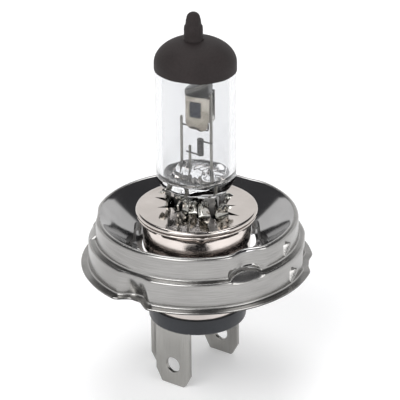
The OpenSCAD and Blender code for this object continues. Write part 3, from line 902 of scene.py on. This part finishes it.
def coil(foot, height, turns):
    deselect()
    bpy.ops.mesh.primitive_circle_add(vertices=10, radius=COIL_WIRE, rotation=(math.pi / 2, 0, 0),
                                      location=(COIL_R - COIL_WIRE, 0, COIL_WIRE), fill_type="NGON")
    piece = bpy.context.object
    bpy.ops.object.transform_apply(location=True, rotation=True, scale=True)
    edit(piece, "FACE")
    bpy.ops.mesh.delete(type="ONLY_FACE")
    bpy.ops.object.mode_set(mode="OBJECT")
    pitch = (height - 2 * COIL_WIRE) / turns
    apply(piece, "SCREW", angle=math.tau, screw_offset=pitch, iterations=turns, steps=28, render_steps=28,
          axis="Z", use_merge_vertices=False)
    edit(piece)
    bpy.ops.mesh.fill_holes(sides=12)
    bpy.ops.mesh.select_all(action="SELECT")
    bpy.ops.mesh.normals_make_consistent(inside=False)
    bpy.ops.object.mode_set(mode="OBJECT")
    piece.data.transform(Matrix.Translation((COIL_X, 0, foot)))
    return piece


DIPPED_FOOT, DIPPED_LEN = 29.2, 4.6
MAIN_FOOT, MAIN_LEN = 22.5, 3.7
coil_edge = COIL_X + COIL_R - COIL_WIRE
dipped_top = DIPPED_FOOT + DIPPED_LEN
dipped_leg = DIPPED_FOOT - 1.4
dipped = [coil(DIPPED_FOOT, DIPPED_LEN, 12),
          wire([(coil_edge, 0.02, DIPPED_FOOT + 0.16), (2.2, 0.2, DIPPED_FOOT + 0.2),
                (2.5, SIDE, DIPPED_FOOT), (2.5, SIDE, dipped_leg + 0.3), (2.25, SIDE, dipped_leg),
                (-3.3, SIDE, dipped_leg), (-3.95, SIDE - 0.05, dipped_leg)], LEG_R),
          wire([(coil_edge, 0, dipped_top - 0.15), (2.3, 0, dipped_top - 0.34), (3.14, 0, dipped_top - 0.34)],
               LEG_R)]
deliver(joined(dipped), "dipped_coil", "tungsten", TUNGSTEN, "dipped_filament", smooth=60)

main_low, main_top = MAIN_FOOT + 0.34, MAIN_FOOT + MAIN_LEN - 0.34
main = [coil(MAIN_FOOT, MAIN_LEN, 10),
        wire([(coil_edge, 0, MAIN_FOOT + 0.15), (COIL_X + 0.1, -SIDE, MAIN_FOOT + 0.2),
              (0.4, -SIDE, main_low), (-1.95, -SIDE, main_low)], LEG_R),
        wire([(coil_edge, 0, MAIN_FOOT + MAIN_LEN - 0.15), (COIL_X + 0.7, -0.3, main_top),
              (2.1, -SIDE, main_top), (3.95, -SIDE, main_top)], LEG_R)]
deliver(joined(main), "main_coil", "tungsten", TUNGSTEN, "main_filament", smooth=60)

# %% [markdown]
# ## Wires, foils and leads
# The support wires are straight, drawn molybdenum with rounded tips. The foils, the outer leads and the
# welds are plain in reality too, so their nodes stay and only get a finish.

# %% Support wires
WIRE_R = 0.28


def support_wire(name, node, x):
    low, high = corners(node)
    outer = wire([(x, 0, low.z), (x, 0, high.z - 0.32), (x, 0, high.z - 0.1), (x, 0, high.z)], WIRE_R, 6)

    def rounded(place):
        over = place.z - (high.z - 0.32)
        share = math.sqrt(max(1 - (over / 0.36) ** 2, 0)) if over > 0 else 1
        return Vector((x + (place.x - x) * share, place.y * share, place.z))

    reshape(outer, rounded)
    deliver(outer, name, "molybdenum_wire", WIRE, node, smooth=60)


support_wire("shield_post", "shield_support_wire", WIRES["shield"])
support_wire("dipped_post", "dipped_support_wire", WIRES["dipped"])
support_wire("main_post", "main_support_wire", WIRES["main"])


def keep(node, finish):
    """A node whose shape is right only gets its finish."""
    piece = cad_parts[node]
    piece.data.materials.clear()
    piece.data.materials.append(finish)


for node in ("shield_foil", "dipped_foil", "main_foil"):
    keep(node, FOIL)
for node in ("shield_lead", "dipped_lead", "main_lead"):
    keep(node, WIRE)
keep("blade_welds", WELD)

# %% [markdown]
# ## Dipped-beam shield
# The shield keeps the dipped filament's light out of the lower half of the reflector. It is a pressed
# trough with a spoon-shaped foot and a slanted hood over its top, turned a little against the pinch, and
# a flange on it is welded along the tallest wire. It is drawn here from the centre of its round back.
# Its colour holds painted light: the hood is painted near black as a painted dark reflection, with two
# painted highlight lines, the side beside the coil carries a painted dark blue-grey reflection, and the
# inside is painted dark in blotches and darker towards the top, as painted shade.

# %% Shield trough
SHIELD_X = 0.25
SHIELD_TURN = math.radians(15)
SHIELD_R = 2.2
SHIELD_REACH = 2.89
FOOT_REACH = 0.5
SHIELD_FOOT = 28.2
SHIELD_TOP = 35.5
SPOON = 1.54
ROWS = 22
side = [(x, -SHIELD_R) for x in (SHIELD_REACH, 2.35, 1.75, 1.15, 0.55)]
plan = side + arc((0, 0), SHIELD_R, -90, -270, 20) + [(x, -y) for x, y in side[::-1]]
trough = outline([(x, y, SHIELD_FOOT) for x, y in plan])
edit(trough)
row_h = (SHIELD_TOP - SHIELD_FOOT) / ROWS
for _ in range(ROWS):
    bpy.ops.mesh.extrude_region_move(TRANSFORM_OT_translate={"value": (0, 0, row_h)})
bpy.ops.object.mode_set(mode="OBJECT")


def spooned(place):
    """Rounds the foot like a spoon."""
    reach = max(place.x - FOOT_REACH, 0) / (SHIELD_REACH - FOOT_REACH + 0.02)
    height = max(place.z, SHIELD_FOOT + SPOON * (1 - math.sqrt(1 - reach ** 2)))
    low = max(1 - (height - SHIELD_FOOT) / SPOON, 0)
    draw_in = SPOON * (1 - math.sqrt(max(1 - low ** 2, 0))) * (1 - ease((place.x - 0.4) / 1.6))
    middle = Vector((max(min(place.x, FOOT_REACH), 0), 0, 0))
    off = Vector((place.x, place.y, 0)) - middle
    off *= 1 - 0.72 * draw_in / SHIELD_R
    return Vector((middle.x + off.x, off.y, height))


def cap_ring(piece, test):
    """Fills the ring of open edges that the test finds."""
    edit(piece, "EDGE")
    bpy.ops.mesh.select_all(action="DESELECT")
    mesh = bmesh.from_edit_mesh(piece.data)
    for edge in mesh.edges:
        middle = (edge.verts[0].co + edge.verts[1].co) / 2
        edge.select = edge.is_boundary and test(middle)
    bmesh.update_edit_mesh(piece.data)
    bpy.ops.mesh.edge_face_add()
    bpy.ops.mesh.select_all(action="SELECT")
    bpy.ops.mesh.normals_make_consistent(inside=False)
    bpy.ops.object.mode_set(mode="OBJECT")


reshape(trough, spooned)
cap_ring(trough, lambda middle: middle.z < SHIELD_FOOT + 0.05 and middle.x < FOOT_REACH + 0.1)
outward(trough, lambda c: Vector((-1, 0, 0)) if c.x < -SHIELD_R + 0.1 else None)

# %% Shield finishes with painted reflections, highlights and shade
painted_shield = material("molybdenum_painted_reflections", Metallic=1.0)
height_on = painted_shield.axis(2)
# The hood is painted near black: a painted dark reflection.
hooded = height_on.between(0.0353, 0.0354)
scratches = painted_shield.noise((250, 250, 250), detail=3.0)
# A painted dark blue-grey reflection on the side beside the coil.
dark_reflection_patch = height_on.between(0.0310, 0.0313) * (1 - height_on.between(0.0342, 0.0345))
dark_reflection_patch = dark_reflection_patch * painted_shield.axis(0).between(0.0, 0.0003) * (1 - painted_shield.axis(0).between(0.0022, 0.0025))
dark_reflection_patch = dark_reflection_patch * (1 - painted_shield.axis(1).between(-0.0008, -0.0004))
slant = height_on - 0.498 * painted_shield.axis(0) - 0.133 * painted_shield.axis(1)
# Two painted highlight lines along the hood's slant.
painted_highlight_lines = slant.between(0.03676, 0.0368) * (1 - slant.between(0.03686, 0.0369))
painted_highlight_lines = painted_highlight_lines + slant.between(0.0363, 0.03634) * (1 - slant.between(0.0364, 0.03644))
bright = scratches.between(0.3, 0.7).blend((0.28, 0.25, 0.2), (0.6, 0.56, 0.49))
black = painted_highlight_lines.blend((0.01, 0.009, 0.008), (0.45, 0.44, 0.4))
painted_shield.colour(hooded.blend(dark_reflection_patch.blend(bright, (0.022, 0.025, 0.036)), black))
painted_shield.roughness(0.1 + 0.1 * scratches)
painted_shield.bump(scratches, 0.000004)

# The inner faces are painted dark in blotches and darker towards the top under the hood: painted shade.
inner_shade = material("molybdenum_painted_inner_shade", Metallic=1.0, Roughness=0.16)
blotches = inner_shade.noise((700, 700, 500), detail=2.0)
high = inner_shade.axis(2).between(0.031, 0.0352)
inner_shade.colour((blotches + 0.35 * high).between(0.5, 0.66).blend((0.7, 0.68, 0.64), (0.015, 0.015, 0.016)))

# %% Hood and flange
HOOD_R = 2.3
HOOD_FRONT = 2.75
HOOD_CORNER = 1.2
HOOD_FOOT = 35.2
HOOD_BACK = 0.9
HOOD_RISE = 2.6
PLATE_SIZE = (0.2, 1.06, 4.8)
PLATE_PLACE = (SHIELD_REACH + 0.06, -1.67, 32.8)
corner = (HOOD_FRONT - HOOD_CORNER, HOOD_R - HOOD_CORNER)
hood_plan = (arc((0, 0), HOOD_R, 90, 270, 20) + arc((corner[0], -corner[1]), HOOD_CORNER, -90, 0, 6)
             + arc(corner, HOOD_CORNER, 0, 90, 6))
hood = outline([(x, y, HOOD_FOOT) for x, y in [*hood_plan, hood_plan[0]]])
edit(hood)
bpy.ops.mesh.remove_doubles(threshold=0.0005)
bpy.ops.mesh.extrude_region_move(TRANSFORM_OT_translate={"value": (0, 0, HOOD_BACK)})
bpy.ops.object.mode_set(mode="OBJECT")


def slanted(place):
    rise = HOOD_RISE * (place.x + HOOD_R) / (HOOD_R + HOOD_FRONT)
    return place + Vector((0, 0, rise if place.z > HOOD_FOOT + 0.1 else 0))


reshape(hood, slanted)
cap_ring(hood, lambda middle: middle.z > HOOD_FOOT + 0.1)
outward(hood, lambda c: Vector((-1, 0, 0)) if c.x < -HOOD_R + 0.1 else None)
apply(hood, "BEVEL", width=0.3, segments=4, limit_method="ANGLE", angle_limit=math.radians(55))

for shell, thickness in ((trough, 0.16), (hood, 0.14)):
    shell.data.materials.append(painted_shield.owner)
    shell.data.materials.append(inner_shade.owner)
    apply(shell, "SOLIDIFY", thickness=thickness, offset=-1, material_offset=1)

deselect()
bpy.ops.mesh.primitive_cube_add(size=1, location=PLATE_PLACE, scale=PLATE_SIZE)
flange_plate = bpy.context.object
bpy.ops.object.transform_apply(location=True, rotation=True, scale=True)
apply(flange_plate, "BEVEL", width=0.06, segments=2)
flange_plate.data.materials.append(painted_shield.owner)
flange_plate.data.materials.append(inner_shade.owner)
shield = joined([trough, hood, flange_plate])
shield.data.transform(Matrix.Translation((SHIELD_X, 0, 0)) @ Matrix.Rotation(SHIELD_TURN, 4, "Z"))
deliver(shield, "shield_trough", "polished_molybdenum", None, "dipped_beam_shield", smooth=40)

# %% [markdown]
# ## Insulator and blades
# The moulding and the blades are right as solids. Only their edges are too sharp, so merged copies of
# them get small rounded edges.

# %% Insulator and blades


def rounded_copy(name, node, slot, finish, width, segments=2):
    piece = copy_of(node)
    apply(piece, "BEVEL", width=width, segments=segments, limit_method="ANGLE",
          angle_limit=math.radians(35), loop_slide=False)
    deliver(piece, name, slot, finish, node, smooth=35)


rounded_copy("insulator_moulding", "terminal_insulator", "black_insulator", PLASTIC, 0.12)
rounded_copy("earth_terminal", "earth_blade", "blade_steel", BLADE, 0.09)
rounded_copy("main_terminal", "main_blade", "blade_steel", BLADE, 0.09)
rounded_copy("dipped_terminal", "dipped_blade", "blade_steel", BLADE, 0.09)

# %% [markdown]
# ## Studio
# The floor is a large pale sheet that is lit until it is white, and it keeps a soft shadow under the
# bulb. The room is bright up to about a third of the way to the zenith and dark above, which gives the
# polished bowl its dark back. Two soft boxes in front and one behind light the floor, which also glows a
# little, so the shadow stays pale.

# %% Floor, lights and room
floor_z = cad_box[0][2]
deselect()
bpy.ops.mesh.primitive_plane_add(size=6, location=(0, 0, floor_z))
floor = bpy.context.object
floor.name = "floor"
paper = material("pale_floor", Roughness=0.5, Emission_Color=(1, 1, 1, 1), Emission_Strength=0.22)
grain = paper.noise((40, 40, 40), detail=2.0)
paper.colour(grain.blend((0.86, 0.86, 0.865), (0.88, 0.88, 0.885)))
floor.data.materials.append(paper.owner)


def soft_box(name, azimuth, elevation, distance, size, watts):
    """A square area light that looks at the bulb from a direction counted from the camera's right."""
    turn = AZIMUTH + math.radians(azimuth)
    rise = math.radians(elevation)
    away = Vector((math.cos(turn) * math.cos(rise), math.sin(turn) * math.cos(rise), math.sin(rise)))
    bpy.ops.object.light_add(type="AREA", location=away * distance)
    light = bpy.context.object
    light.name = name
    light.data.size = size
    light.data.energy = watts
    light.rotation_mode = "QUATERNION"
    light.rotation_quaternion = away.to_track_quat("Z", "Y")


soft_box("key_box", -125, 47, 1.1, 0.7, 6)
soft_box("fill_box", -40, 38, 1.2, 0.6, 3.5)
soft_box("back_box", 90, 66, 1.0, 0.6, 4.5)

room = Finish(bpy.data.worlds.new("room"), "Background")
bpy.context.scene.world = room.owner
direction = room.add("ShaderNodeSeparateXYZ", {"Vector": room.place(0)}, output=2)
room.feed(room.shader.inputs["Color"], direction.between(0.485, 0.52).blend((1, 1, 1), (0.08, 0.08, 0.085)))
room.shader.inputs["Strength"].default_value = 1.0
bpy.context.scene.view_settings.view_transform = "Standard"
print("studio ready")

# %% [markdown]
# The last cell prints the imported model's box in millimetres.

# %% Finish
print("cad", [[round(v / MM, 2) for v in c] for c in cad_box])
